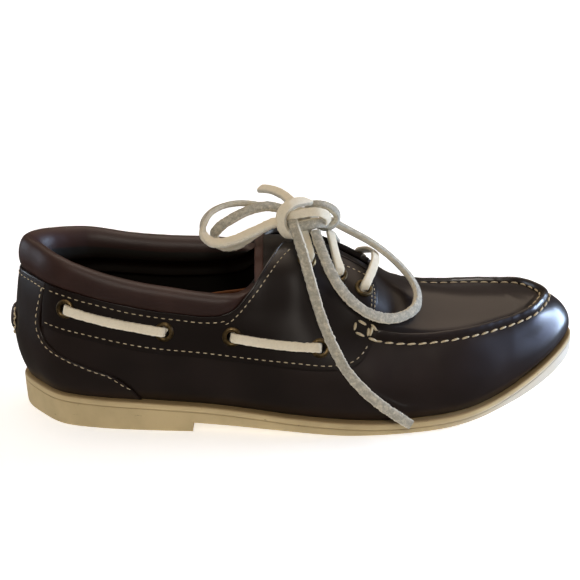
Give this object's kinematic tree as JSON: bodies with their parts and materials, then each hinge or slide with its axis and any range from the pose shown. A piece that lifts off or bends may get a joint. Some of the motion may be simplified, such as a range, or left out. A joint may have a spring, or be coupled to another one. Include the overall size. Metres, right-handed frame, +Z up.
{
  "type": "boat shoe",
  "caption": "Right boat shoe: low leather upper with raised seam round the toe, padded collar, rawhide lace tied in a bow, pale moulded rubber sole with a low heel.",
  "frame": {"origin": "bottom centre of the shoe's bounding box without its free lace", "axes": "+X to the toe, +Y to the medial (inner) side, +Z up"},
  "size_m": [0.3038, 0.1099, 0.1109],
  "materials": {
    "rubber": "matte off-white moulded rubber with a darker tan ledge",
    "leather": "polished very dark brown leather",
    "collar_leather": "soft satin reddish brown leather",
    "lining": "matte tan lining",
    "brass": "antique brass",
    "rawhide": "cream rawhide with rough grey edges"
  },
  "bodies": {
    "root": {"outsole": "rubber", "insole": "lining", "upper": "leather", "collar": "collar_leather", "tongue": "leather", "heel_tab": "leather", "throat_lace_1": "rawhide", "throat_lace_2": "rawhide", "lace_knot": "rawhide", "lace_loop_front": "rawhide", "lace_loop_rear": "rawhide", "lace_end_front": "rawhide", "lace_end_rear": "rawhide", "facing_eyelet_lateral_1": "brass", "facing_eyelet_lateral_2": "brass", "facing_eyelet_lateral_3": "brass", "side_eyelet_lateral_1": "brass", "side_eyelet_lateral_2": "brass", "side_eyelet_lateral_3": "brass", "side_eyelet_lateral_4": "brass", "side_lace_lateral_1": "rawhide", "side_lace_lateral_2": "rawhide", "knot_leg_lateral": "rawhide", "facing_eyelet_medial_1": "brass", "facing_eyelet_medial_2": "brass", "facing_eyelet_medial_3": "brass", "side_eyelet_medial_1": "brass", "side_eyelet_medial_2": "brass", "side_eyelet_medial_3": "brass", "side_eyelet_medial_4": "brass", "side_lace_medial_1": "rawhide", "side_lace_medial_2": "rawhide", "knot_leg_medial": "rawhide"}
  },
  "joints": []
}
